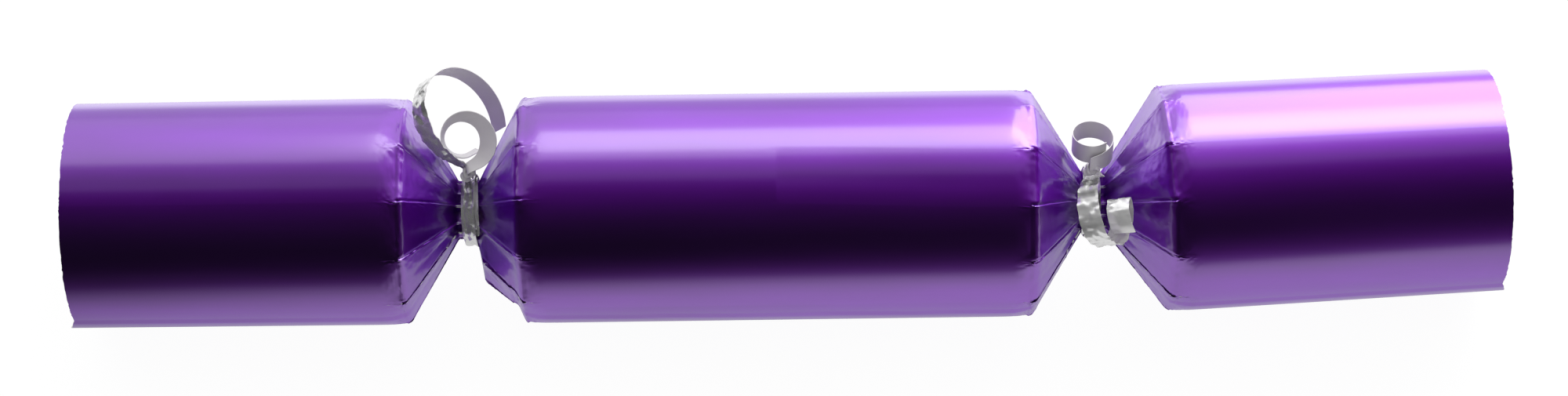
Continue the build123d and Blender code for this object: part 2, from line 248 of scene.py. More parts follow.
def foilFinish(look):
    material, board, shader, place = newMaterial(
        "purple_foil", look["tint"], Metallic=1.0, Coat_Roughness=look["coatRough"],
        Coat_IOR=look["coatIor"], Specular_Tint=(*look["edge"], 1.0))
    neck = board.node("ShaderNodeAttribute", {"attribute_name": "neck"}, (), "Fac")  # 1 on the chokes
    broad = board.noise(board.stretched(place, look["broad"]), 1.0, 2.0)
    fine = board.noise(place, look["fine"], 3.0, 0.6)
    streak = board.noise(board.stretched(place, look["streak"]), 1.0, 3.0, 0.55)
    deep = tuple(look["deep"] * c for c in look["tint"])
    tint = board.mixed(broad.span(0.3, 0.75), (*deep, 1.0), (*look["tint"], 1.0))
    # the chokes take a lighter, whiter copy of the foil's colour: a painted sheen that brightens their
    # reflections
    tint = board.mixed(neck, tint, (*look["neckSheenTint"], 1.0))
    rough = look["barrelRough"] + (look["neckRough"] - look["barrelRough"]) * neck
    rough = rough + ((fine - 0.5) * look["mottle"] + (streak - 0.5) * look["mottle"]) * (1.0 - neck * 0.8)
    crumple = board.noise(place, look["crumple"], 3.0, 0.55)
    crinkle = board.node("ShaderNodeTexVoronoi", {"feature": "DISTANCE_TO_EDGE"},
                         {"Vector": place, "Scale": look["crinkle"]}, "Distance")
    # wrinkles that run out from the tie
    x, y, z = board.parts(place)
    up = z - axisHeight * mm
    reach = (y * y + up * up + 1e-8) ** 0.5
    around = board.vector(y / reach * look["rayTurn"], up / reach * look["rayTurn"], x * look["rayRun"])
    rays = board.noise(around, 1.0, 2.0)
    tall = look["heights"]
    height = crumple * tall["crumple"] + rays * tall["rays"] + crinkle.span(0.0, 0.12) * tall["crinkle"]
    height = height * neck + fine * tall["fine"]
    feed(board, shader, Base_Color=tint, Roughness=rough, Coat_Weight=1.0 - neck * (1.0 - look["neckCoat"]),
         Normal=bumped(board, height, look["bumpDepth"], look["bumpStrength"]))
    return material


paperGrain = {"stretch": (1.0, 1.6, 1.6), "cloud": 60.0, "fibreShare": 0.6, "cloudShare": 0.4,
              "blend": (0.3, 0.7), "mottle": 0.2, "bump": 0.6}


def plainPaper(name, tint, spread, rough=0.75, grain=700.0, depth=0.00004):
    material, board, shader, place = newMaterial(name, tint, Roughness=rough)
    fibre = board.noise(board.stretched(place, paperGrain["stretch"]), grain, 4.0, 0.65)
    cloud = board.noise(place, paperGrain["cloud"], 2.0)
    darker = tuple(c * (1 - spread) for c in tint)
    blend = fibre * paperGrain["fibreShare"] + cloud * paperGrain["cloudShare"]
    mix = board.mixed(blend.span(*paperGrain["blend"]), (*darker, 1.0), (*tint, 1.0))
    mottle = rough - paperGrain["mottle"] / 2 + fibre * paperGrain["mottle"]
    feed(board, shader, Base_Color=mix, Roughness=mottle,
         Normal=bumped(board, fibre, depth, paperGrain["bump"]))
    return material


ribbonGrain = {"lines": (0.25, 5.0, 1.0), "lumps": (0.7, 0.35, 1.0), "cells": (0.9, 0.5, 1.0),
               "cellEdge": 0.2, "cellShare": 0.5, "mottle": 0.16, "bumpDepth": 0.0003, "bump": 0.8}


def ribbonFace(name, tint, metallic, rough, crush, streaks, ridges, toneAndReflectionDark, toneAndReflectionSpan):
    material, board, shader, _ = newMaterial(name, tint, Metallic=metallic, Roughness=rough)
    along = board.node("ShaderNodeAttribute", {"attribute_name": "along"}, (), "Fac")
    across = board.node("ShaderNodeAttribute", {"attribute_name": "across"}, (), "Fac")
    flat = board.vector(along * 1000.0, across * 1000.0, 0.0)
    lines = board.noise(board.stretched(flat, ribbonGrain["lines"]), 1.0, 3.0, 0.6)
    lumps = board.noise(board.stretched(flat, ribbonGrain["lumps"]), 1.0, 4.0, 0.62)
    cells = board.node("ShaderNodeTexVoronoi", {"feature": "DISTANCE_TO_EDGE"},
                       {"Vector": board.stretched(flat, ribbonGrain["cells"]), "Scale": 1.0}, "Distance")
    # darker patches: on the shiny faces a painted dark reflection that stands in for crumpled foil, on the
    # matt face darker streaks that differ at random
    darker = tuple(c * toneAndReflectionDark for c in tint)
    mix = board.mixed((lines * streaks + lumps * (1 - streaks)).span(*toneAndReflectionSpan), (*darker, 1.0), (*tint, 1.0))
    cracks = cells.span(0.0, ribbonGrain["cellEdge"]) * crush * ribbonGrain["cellShare"]
    height = lumps * crush + cracks + lines * ridges
    mottle = rough - ribbonGrain["mottle"] / 2 + lines * ribbonGrain["mottle"]
    feed(board, shader, Base_Color=mix, Roughness=mottle,
         Normal=bumped(board, height, ribbonGrain["bumpDepth"], ribbonGrain["bump"]))
    return material


ribbonLooks = {
    "ribbon_shine": {"tint": (0.84, 0.84, 0.84), "metallic": 0.76, "rough": 0.24, "crush": 1.2,
                     "streaks": 0.2, "ridges": 0.03, "toneAndReflectionDark": 0.08, "toneAndReflectionSpan": (0.4, 0.5)},
    # a lighter, less metallic copy of the shiny face for the lower right curl: painted brighter light
    "ribbon_shine_lit_copy": {"tint": (0.95, 0.95, 0.95), "metallic": 0.6, "rough": 0.26, "crush": 1.2,
                      "streaks": 0.3, "ridges": 0.05, "toneAndReflectionDark": 0.12, "toneAndReflectionSpan": (0.37, 0.45)},
    "ribbon_matt": {"tint": (0.76, 0.745, 0.75), "metallic": 0.2, "rough": 0.48, "crush": 0.12,
                    "streaks": 0.7, "ridges": 0.12, "toneAndReflectionDark": 0.68, "toneAndReflectionSpan": (0.3, 0.72)},
}
paperLooks = {
    "wrap_back": {"tint": (0.78, 0.77, 0.75), "spread": 0.08},
    "tube_card": {"tint": (0.62, 0.58, 0.52), "spread": 0.16, "rough": 0.85},
    "snap_card": {"tint": (0.55, 0.44, 0.3), "spread": 0.2, "rough": 0.85},
    "sleeve_paper": {"tint": (0.5, 0.36, 0.22), "spread": 0.2, "rough": 0.85},
    "charge_dab": {"tint": (0.13, 0.12, 0.12), "spread": 0.5, "rough": 0.9, "grain": 1500.0, "depth": 0.0001},
    "rough_pad": {"tint": (0.22, 0.13, 0.09), "spread": 0.5, "rough": 0.92, "grain": 2200.0,
                  "depth": 0.00015},
    "hat_tissue": {"tint": (0.72, 0.12, 0.1), "spread": 0.18, "rough": 0.8, "grain": 500.0},
    "elastic": {"tint": (0.62, 0.42, 0.2), "spread": 0.12, "rough": 0.55, "grain": 300.0, "depth": 0.00002},
    "motto_paper": {"tint": (0.82, 0.81, 0.77), "spread": 0.05, "rough": 0.8},
    "top_wheel": {"tint": (0.05, 0.28, 0.62), "spread": 0.1, "rough": 0.28, "grain": 200.0, "depth": 0.00001},
    "top_peg": {"tint": (0.85, 0.62, 0.06), "spread": 0.1, "rough": 0.28, "grain": 200.0, "depth": 0.00001},
}
foil = foilFinish(foilLook)
ribbonShine, ribbonLitCopy, ribbonMatt = [ribbonFace(name, **look) for name, look in ribbonLooks.items()]
paper = {name: plainPaper(name, **look) for name, look in paperLooks.items()}
print("finishes made")


# camera, placed as the photograph shows it

lens = {"length": 86.2, "sensor": 36.0, "clip": (0.01, 20.0), "distance": 811.0, "tilt": 63.0, "roll": 0.77,
        "middle": 1.5, "raise": 1.66}
along = Vector((1, 0, 0))
riseWay = Vector((0, math.sin(math.radians(lens["tilt"])), math.cos(math.radians(lens["tilt"]))))
outWay = Vector((0, -math.cos(math.radians(lens["tilt"])), math.sin(math.radians(lens["tilt"]))))

cameraData = bpy.data.cameras.new("camera")
cameraData.lens = lens["length"]
cameraData.sensor_width = lens["sensor"]
cameraData.clip_start, cameraData.clip_end = lens["clip"]
camera = bpy.data.objects.new("camera", cameraData)
roll = math.radians(lens["roll"])
cameraRight = along * math.cos(roll) - riseWay * math.sin(roll)
cameraUp = along * math.sin(roll) + riseWay * math.cos(roll)
spot = Vector((lens["middle"], 0, axisHeight)) + riseWay * lens["raise"] + outWay * lens["distance"]
camera.matrix_world = Matrix((cameraRight, cameraUp, outWay)).transposed().to_4x4()
camera.location = spot * mm
scene.collection.objects.link(camera)
scene.camera = camera
print("camera set")


# curled tails of ribbon

def curlPoint(share, shape):  # same rule as the solid: middle line and width direction at a share of the curl
    tilt, turn = math.radians(shape["tilt"]), math.radians(shape["turn"])
    pole = (outWay * math.cos(tilt) + along * math.sin(tilt)) * math.cos(turn) + riseWay * math.sin(turn)
    side = along * math.cos(tilt) - outWay * math.sin(tilt)
    up = pole.cross(side)

    def place(q):
        a = math.radians(shape["angle"] + shape["sweep"] * q)
        r = shape["radius"] + (shape["firstRadius"] - shape["radius"]) * (1 - q) ** 4
        spread = side * math.cos(a) + up * math.sin(a)
        return spread, spread * r + pole * (shape["drift"] * q) + outWay * (shape["lean"] * 4 * q * (1 - q))

    s = shape["start"]
    origin = Vector((0, 0, axisHeight)) + along * s[0] + riseWay * s[1] + outWay * s[2]
    spread, spot = place(share)
    rolled = math.radians(shape["roll"][0] + (shape["roll"][1] - shape["roll"][0]) * share)
    return (origin + spot - place(0)[1]) * mm, pole * math.cos(rolled) + spread * math.sin(rolled)


knots = {"reach": 9.8, "left": 34.0, "right": 43.0}  # mm from the axis, and degrees of lean to the front


def knotDirection(side):
    lean = math.radians(knots[side])
    return riseWay * math.cos(lean) + outWay * math.sin(lean)


def knotSeat(side):
    return Vector((tieX[side], 0, axisHeight)) + knotDirection(side) * knots["reach"]


curlSteps = 25
leadSteps = 8
ribbon = {"Width": 5.0 * mm, "Thickness": 0.16 * mm, "Rows": 160, "Columns": 11, "Grain": 330.0,
          "endShare": 0.05, "smoothOver": 0.12, "smoothLeft": 0.06, "swayRun": 9.0, "swayTurn": 7.0,
          "pointRun": 0.0005, "seedStep": 0.1}
curls = {
    "left_long_curl": {
        "side": "left", "start": (-67.4, 9.6, 6.6), "tilt": 41, "turn": 17, "firstRadius": 11.7,
        "radius": 10.1, "angle": -106, "sweep": -270, "drift": -1.4, "lean": 11.4, "roll": (0, 0),
        "length": 56.8, "face": ribbonShine, "shine": -1, "crumple": 0.9, "grain": 420.0, "smoothFrom": 0.4,
        "lead": 2.0, "pinch": 0.35, "gathered": 0.3, "tuck": 0.0, "seed": 3},
    "left_short_curl": {
        "side": "left", "start": (-65.6, 9.2, 7.4), "tilt": 14.5, "turn": -1.6, "firstRadius": 6.4,
        "radius": 4.3, "angle": -84.6, "sweep": 392, "drift": -7.2, "lean": 3.8, "roll": (43.3, 6.2),
        "length": 34.8, "face": ribbonShine, "shine": 1, "crumple": 0.06, "grain": 330.0, "smoothFrom": 2.0,
        "lead": 1.5, "pinch": 0.5, "gathered": 0.2, "tuck": 1.6, "seed": 5},
    "right_upper_curl": {
        "side": "right", "start": (67.6, 8.1, 9.65), "tilt": 0, "turn": 44, "firstRadius": 5.2,
        "radius": 4.3, "angle": -90, "sweep": 400, "drift": 2.0, "lean": 0, "roll": (0, 0),
        "length": 31.3, "face": ribbonMatt, "shine": 1, "crumple": 0.08, "grain": 330.0, "smoothFrom": 2.0,
        "lead": 1.5, "pinch": 0.6, "gathered": 0.15, "tuck": 0.0, "seed": 7},
    "right_lower_curl": {
        "side": "right", "start": (68.8, 5.3, 8.84), "tilt": 65, "turn": 3, "firstRadius": 11.0,
        "radius": 4.5, "angle": 60, "sweep": 520, "drift": 8.2, "lean": 3, "roll": (0, 0),
        "length": 54.0, "face": ribbonLitCopy, "shine": 1, "crumple": 0.9, "grain": 520.0, "smoothFrom": 0.85,
        "lead": 1.0, "pinch": 0.4, "gathered": 0.26, "tuck": 0.0, "seed": 9},
}


def ribbonTree():  # a strip that follows the points of a path mesh, which carry their width direction
    board, given = geometryTree("ribbonStrip", {
        "Width": 5.0 * mm, "Rows": 120, "Columns": 11, "Points": 100, "Crumple": 0.0, "Grain": 300.0,
        "Smooth From": 2.0, "Gather": 0.0, "Folds": 3.0, "Seed": 0.0, "Material": None}, True)
    grid = board.node("GeometryNodeMeshGrid", None, {0: 1.0, 1: 1.0, 2: given["Columns"], 3: given["Rows"]})
    x, y, _ = board.parts(board.node("GeometryNodeInputPosition"))
    share = y + 0.5
    index = share * (given["Points"] - 1.0)
    low = (index + 0.0001).whole()
    rest = (index - low).held()
    spot = board.node("GeometryNodeInputPosition")
    wide = board.node("GeometryNodeInputNamedAttribute", {"data_type": "FLOAT_VECTOR"}, ["wide"])
    out = board.node("GeometryNodeInputNamedAttribute", {"data_type": "FLOAT_VECTOR"}, ["out"])

    def sampled(field):
        ends = []
        for at in (low, (low + 1.0).least(given["Points"] - 1.0)):
            kind = {"data_type": "FLOAT_VECTOR", "domain": "POINT"}
            ends.append(board.node("GeometryNodeSampleIndex", kind,
                                   {0: given["Geometry"], "Value": field, "Index": at}))
        return board.node("ShaderNodeMix", {"data_type": "VECTOR"}, {0: rest, 4: ends[0], 5: ends[1]}, 1)

    def scaled(vector, share):
        return board.node("ShaderNodeVectorMath", {"operation": "SCALE"}, {0: vector, "Scale": share})

    def added(one, other):
        return board.node("ShaderNodeVectorMath", {"operation": "ADD"}, [one, other])

    flat = added(sampled(spot), scaled(sampled(wide), x * given["Width"]))
    shifted = added(flat, board.vector(given["Seed"], 0.0, 0.0))
    crush = board.noise(shifted, given["Grain"], 2.0, 0.55) - 0.5
    smoothFrom = given["Smooth From"]
    ends = share.span(0.0, ribbon["endShare"]) * share.span(
        smoothFrom, smoothFrom + ribbon["smoothOver"], 1.0, ribbon["smoothLeft"])
    sway = board.noise(board.vector(share * ribbon["swayRun"], given["Seed"], 0.0), 1.0, 2.0)
    pleats = (x * given["Folds"] * math.tau + sway * ribbon["swayTurn"]).sine() * given["Gather"]
    lifted = added(flat, scaled(sampled(out), crush * given["Crumple"] * 2.0 * ends + pleats))
    shaped = board.node("GeometryNodeSetPosition", None, {"Geometry": grid, "Position": lifted})
    marked = shaped
    run = share * given["Points"] * ribbon["pointRun"] + given["Seed"]
    for name, value in (("across", x * given["Width"]), ("along", run)):
        marked = board.node("GeometryNodeStoreNamedAttribute", {"data_type": "FLOAT", "domain": "POINT"},
                            {"Geometry": marked, "Name": name, "Value": value})
    smooth = board.node("GeometryNodeSetShadeSmooth", None, [marked])
    endTree(board, smooth, given["Material"])
    return board.tree


ribbonStrip = ribbonTree()


def pathMesh(name, points, wides, outs):
    mesh = bpy.data.meshes.new(name + "_path")
    mesh.from_pydata(points, [(k, k + 1) for k in range(len(points) - 1)], [])
    for key, rows in (("wide", wides), ("out", outs)):
        layer = mesh.attributes.new(key, "FLOAT_VECTOR", "POINT")
        for k, row in enumerate(rows):
            layer.data[k].vector = row
    return mesh


def splinePoints(name, control):  # points of a smooth cord line through its control points
    line = bpy.data.curves.new(name + "_line", "CURVE")
    line.dimensions = "3D"
    spline = line.splines.new("NURBS")
    spline.points.add(len(control) - 1)
    for point, place in zip(spline.points, control):
        point.co = (*place, 1.0)
    spline.order_u = 3
    spline.use_endpoint_u = True
    spline.resolution_u = 8
    holder = bpy.data.objects.new(name + "_line", line)
    scene.collection.objects.link(holder)
    mesh = bpy.data.meshes.new_from_object(holder.evaluated_get(bpy.context.evaluated_depsgraph_get()))
    points = [v.co.copy() for v in mesh.vertices]
    bpy.data.objects.remove(holder)
    bpy.data.curves.remove(line)
    bpy.data.meshes.remove(mesh)
    return points


def strip(name, points, wides, width, crumple, seed, shine, **other):
    outs = []
    for k in range(len(points)):
        run = points[min(k + 1, len(points) - 1)] - points[max(k - 1, 0)]
        outs.append(run.cross(wides[k]).normalized() * shine)
    values = {"Width": width, "Rows": ribbon["Rows"], "Columns": ribbon["Columns"], "Points": len(points),
              "Crumple": crumple, "Grain": ribbon["Grain"], "Seed": seed * ribbon["seedStep"],
              "Material": ribbonShine}
    values.update(other)
    mesh = grown(name, ribbonStrip, values, pathMesh(name, points, wides, outs))
    work = bmesh.new()
    work.from_mesh(mesh)
    work.faces.ensure_lookup_table()
    face = work.faces[len(work.faces) // 2]
    near = min(range(len(points)), key=lambda k: (points[k] - face.calc_center_median()).length)
    if face.normal.dot(outs[near]) < 0:
        bmesh.ops.reverse_faces(work, faces=work.faces)
    work.to_mesh(mesh)
    work.free()
    mesh.materials.append(ribbonMatt)
    return finished(name, mesh, [("SOLIDIFY", {"thickness": ribbon["Thickness"], "offset": -1.0,
                                               "material_offset": 1, "material_offset_rim": 1})])


def leadIn(points, seat, reach):  # short bend from inside the knot to the first point of a tail
    first, run = points[0], (points[1] - points[0]).normalized()
    middle = first - run * reach * mm
    rows = []
    for k in range(leadSteps):
        t = k / leadSteps
        rows.append(seat * (1 - t) ** 2 + middle * 2 * t * (1 - t) + first * t * t)
    return rows


def makeCurl(name, shape):
    control, ways = [], []
    for k in range(curlSteps):
        spot, wide = curlPoint(k / (curlSteps - 1), shape)
        control.append(spot)
        ways.append(wide)
    points = splinePoints(name, control)
    wides = []
    for k in range(len(points)):
        share = k / (len(points) - 1) * (curlSteps - 1)
        low = min(int(share), curlSteps - 2)
        wides.append(ways[low].lerp(ways[low + 1], share - low).normalized())
    lead = leadIn(points, knotSeat(shape["side"]) * mm, shape["lead"])
    end = []
    if shape["tuck"]:  # run on to hide the end
        end.append(points[-1] + (points[-1] - points[-2]).normalized() * shape["tuck"] * mm)
    wides = [wides[0]] * len(lead) + wides + [wides[-1]] * len(end)
    for k, wide in enumerate(wides):
        reach = min(1.0, k / (len(wides) - 1) / shape["gathered"])
        wides[k] = wide * (shape["pinch"] + (1 - shape["pinch"]) * math.sin(reach * math.pi / 2))
    mesh = strip(name, lead + points + end, wides, ribbon["Width"], shape["crumple"] * mm, shape["seed"],
                 shape["shine"], **{"Smooth From": shape["smoothFrom"], "Grain": shape["grain"],
                                    "Material": shape["face"]})
    piece = placed(name + "_ribbon", mesh, shape["side"] + "_tie", [name])
    shape["length"] * mm


for curlName, curlShape in curls.items():
    makeCurl(curlName, curlShape)
print("ribbon tails made")


# ties: two crumpled turns of ribbon and a knot on each choke

tieLook = {"steps": 144, "wobble": 0.12, "crumple": 0.45 * mm, "knotSteps": 120, "knotWidth": 2.3 * mm,
           "knotCrumple": 0.4 * mm, "knotNarrow": 0.8, "knotTall": 1.3, "knotTwist": 0.5, "knotSeed": 4,
           "turn": {"Rows": 220, "Columns": 27, "Grain": 420.0, "Gather": 0.24 * mm, "Folds": 1.1},
           "knot": {"Rows": 220, "Columns": 19, "Gather": 0.16 * mm, "Folds": 1.6}}
ties = {
    "left": {"turnsAt": (7.12, 7.6), "slant": (0.4, -0.35), "widths": (3.3, 2.7), "knotSize": 0.52,
             "seed": 2},
    "right": {"turnsAt": (6.95, 7.5), "slant": (-0.4, 0.35), "widths": (3.4, 2.8), "knotSize": 0.58,
              "seed": 6},
}


def joined(name, meshes, merge=0.0):
    work = bmesh.new()
    for mesh in meshes:
        work.from_mesh(mesh)
    if merge:
        bmesh.ops.remove_doubles(work, verts=work.verts, dist=merge)
    whole = bpy.data.meshes.new(name)
    for material in meshes[0].materials:
        whole.materials.append(material)
    work.to_mesh(whole)
    work.free()
    for mesh in meshes:
        bpy.data.meshes.remove(mesh)
    return whole


def makeBand(side, tie):
    middle = Vector((tieX[side], 0, axisHeight))
    knotWay = knotDirection(side)
    sideWay = along.cross(knotWay)
    meshes = []
    for k, radius in enumerate(tie["turnsAt"]):
        points, wides = [], []
        for step in range(tieLook["steps"] + 1):
            a = math.tau * step / tieLook["steps"]
            way = knotWay * math.cos(a) + sideWay * math.sin(a)
            points.append((middle + way * radius + along * (tie["slant"][k] * math.sin(a + k))) * mm)
            wides.append((along + way * tieLook["wobble"] * math.sin(3 * a + k)).normalized())
        meshes.append(strip(side + "_turn" + str(k), points, wides, tie["widths"][k] * mm, tieLook["crumple"],
                            tie["seed"] + k, 1, **tieLook["turn"]))
    band = joined(side + "_tie_band_ribbon", meshes)
    placed(side + "_tie_band_ribbon", band, side + "_tie", [side + "_tie_band"])


def makeKnot(side, tie):  # overhand knot: a small trefoil of gathered ribbon
    seat, knotWay = knotSeat(side), knotDirection(side)
    sideWay = along.cross(knotWay)
    points, wides = [], []
    for step in range(tieLook["knotSteps"] + 1):
        a = math.tau * step / tieLook["knotSteps"]
        x, y = math.sin(a) + 2 * math.sin(2 * a), math.cos(a) - 2 * math.cos(2 * a)
        z = -math.sin(3 * a)
        spread = along * x * tieLook["knotNarrow"] + sideWay * y
        points.append((seat + (spread + knotWay * z * tieLook["knotTall"]) * tie["knotSize"]) * mm)
        wides.append((knotWay + spread.normalized() * tieLook["knotTwist"] * math.sin(2 * a)).normalized())
    knot = strip(side + "_knot", points, wides, tieLook["knotWidth"], tieLook["knotCrumple"],
                 tie["seed"] + tieLook["knotSeed"], 1, **tieLook["knot"])
    placed(side + "_tie_knot_ribbon", knot, side + "_tie", [side + "_tie_knot"])


for sideName, tieShape in ties.items():
    makeBand(sideName, tieShape)
    makeKnot(sideName, tieShape)
print("ties made")


# foil wrap: four halves, each a pleated choke and the barrel beside it

facets = 12
wrap = {"Radius": wrapRadius, "Neck Radius": 6.3, "Fold Band": 1.1, "Fold Drop": 0.45, "Score": 0.16,
        "Settle": 4.5, "Edge Drop": 0.18, "Crow Foot": 0.14, "Pleat Line": 0.42, "Crumple": 0.3,
        "Seam Low": -31.0, "Seam High": -9.0, "Seam Rise": 0.3}
foilThickness = 0.3
columnsPerFacet = 24
fold = {"chokeRows": 0.42, "besideRows": 0.56, "besideRun": 6.0,  # shares of the rows, and mm beside the fold
        "crowd": 0.72,  # how far columns crowd towards the creases
        "nudge": 0.0005, "wholeNudge": 0.0001,  # so that rounding never drops a column into the pleat before
        "gatherPower": 1.5, "turnFrom": 4.0, "settlePower": 2.2, "facetShare": 0.518,
        "swell": (0.08, 0.24, 0.76), "dip": (0.86, 0.14), "dipDepth": 0.22,
        "lineSpan": (0.12, 0.3), "lineAt": 0.38, "lineWide": 0.32, "scoreWide": 0.35,
        "footWide": 0.7, "footRun": 2.6, "dropRun": 7.0, "grain": 0.28, "crumpleRun": 5.0, "crumpleFull": 0.2,
        "archRise": (0.2, 0.5), "archFall": (0.6, 0.92), "lapEdges": (0.5, 0.4), "lapFrom": 0.8,
        "teeth": 240.0, "toothDepth": 0.22, "toothRows": 0.02, "tornBack": 0.55, "tornRows": 0.05,
        "rimFrom": 0.94, "waveGrain": 0.12, "wave": 0.7, "tabLow": 0.15, "neckFade": 3.0, "weld": 0.01 * mm,
        "meet": 0.02 * mm}
halfKeys = ("Tie", "Side", "Neck", "Bundle", "Length", "Mouth Radius", "Phase", "Far Phase", "Tab", "Swing",
            "Seed", "Rows")
halves = {
    "left_end": {
        "Tie": tieX["left"], "Side": -1.0, "Neck": 14.0, "Bundle": 2.7, "Length": 70.6, "Tab": 2.5,
        "Mouth Radius": 24.05, "Phase": lowCorner, "Far Phase": lowCorner, "Swing": 0.0,
        "Seed": 1, "Rows": 120,
        "depth": [1.6, 1.9, 1.5, 1.2, 1.8, 1.4, 1.6, 1.5, 1.7, 1.4, 1.8, 1.5],
        "shift": [0.5, 0.62, 0.36, 0.55, 0.45, 0.6, 0.5, 0.4, 0.55, 0.5, 0.45, 0.6],
        "reach": [1.0, 0.8, 1.1, 0.7, 0.9, 1.0, 0.8, 0.9, 1.0, 0.8, 0.9, 1.0],
        "twist": [2, -3, 4, -2, 6, -4, 3, -2, 4, -3, 2, -2],
        "bulge": [0] * facets,
        "pillow": [0.5, 0.7, 1.1, 0.5, 0.4, 0.5, 0.3, 0.5, 0.4, 0.6, 0.4, 0.4]},
    "centre_left": {
        "Tie": tieX["left"], "Side": 1.0, "Neck": 12.0, "Bundle": 1.75, "Length": 54.0,
        "Tab": 0.0, "Mouth Radius": wrapRadius, "Phase": lowCorner, "Far Phase": 4.0, "Swing": 0.0,
        "Seed": 2, "Rows": 82,
        "depth": [2.4, 2.6, 1.4, 1.6, 1.5, 1.8, 1.5, 1.6, 1.4, 1.7, 1.5, 1.2],
        "shift": [0.75, 0.4, 0.55, 0.6, 0.4, 0.5, 0.6, 0.45, 0.5, 0.55, 0.4, 0.5],
        "reach": [0.95, 0.9, 0.8, 1.0, 0.9, 0.7, 1.0, 0.8, 0.9, 1.0, 0.8, 0.9],
        "twist": [-3, -4, 3, -2, 3, -3, 2, -4, 3, -2, 4, -3],
        "bulge": [5.0, 0.8, 0, 0, 0, 0, 0, 0, 0, 0, 2.5, 7.0],
        "pillow": [0.3, 0.6, 1.2, 0.5, 0.4, 0.5, 0.3, 0.5, 0.4, 0.6, 0.4, 0.2]},
    "centre_right": {
        "Tie": tieX["right"], "Side": -1.0, "Neck": 13.5, "Bundle": 1.75, "Length": 54.0,
        "Tab": 0.0, "Mouth Radius": wrapRadius, "Phase": 1.0, "Far Phase": 4.0, "Swing": 0.0,
        "Seed": 3, "Rows": 82,
        "depth": [1.8, 1.5, 1.7, 1.3, 1.6, 1.4, 1.7, 1.5, 1.6, 1.4, 1.8, 2.0],
        "shift": [0.45, 0.6, 0.4, 0.55, 0.5, 0.45, 0.6, 0.5, 0.4, 0.55, 0.5, 0.6],
        "reach": [1.0, 0.9, 1.1, 0.8, 0.9, 1.0, 0.8, 0.9, 1.0, 0.8, 0.9, 1.0],
        "twist": [3, -2, 4, -3, 2, -4, 3, -2, 3, -4, 2, -3],
        "bulge": [0] * facets,
        "pillow": [0.5, 1.0, 0.7, 0.5, 0.4, 0.5, 0.3, 0.5, 0.4, 0.6, 0.4, 0.6]},
    "right_end": {
        "Tie": tieX["right"], "Side": 1.0, "Neck": 16.2, "Bundle": 2.7, "Length": 70.6, "Tab": 2.2,
        "Mouth Radius": 23.8, "Phase": 1.0, "Far Phase": 1.0, "Swing": 2.7, "Seed": 4, "Rows": 120,
        "depth": [1.5, 1.8, 2.2, 1.6, 1.4, 1.7, 1.5, 1.6, 1.4, 1.8, 1.5, 1.4],
        "shift": [0.5, 0.4, 0.6, 0.45, 0.55, 0.5, 0.4, 0.6, 0.5, 0.45, 0.55, 0.5],
        "reach": [0.9, 1.0, 0.8, 1.1, 0.9, 0.8, 1.0, 0.9, 0.8, 1.0, 0.9, 1.0],
        "twist": [-2, 3, -4, 2, -3, 4, -2, 3, -3, 2, -4, 3],
        "bulge": [0] * facets,
        "pillow": [0.6, 0.8, 1.1, 0.2, 0.0, 0.2, 0.3, 0.5, 0.4, 0.6, 0.4, 0.5]},
}


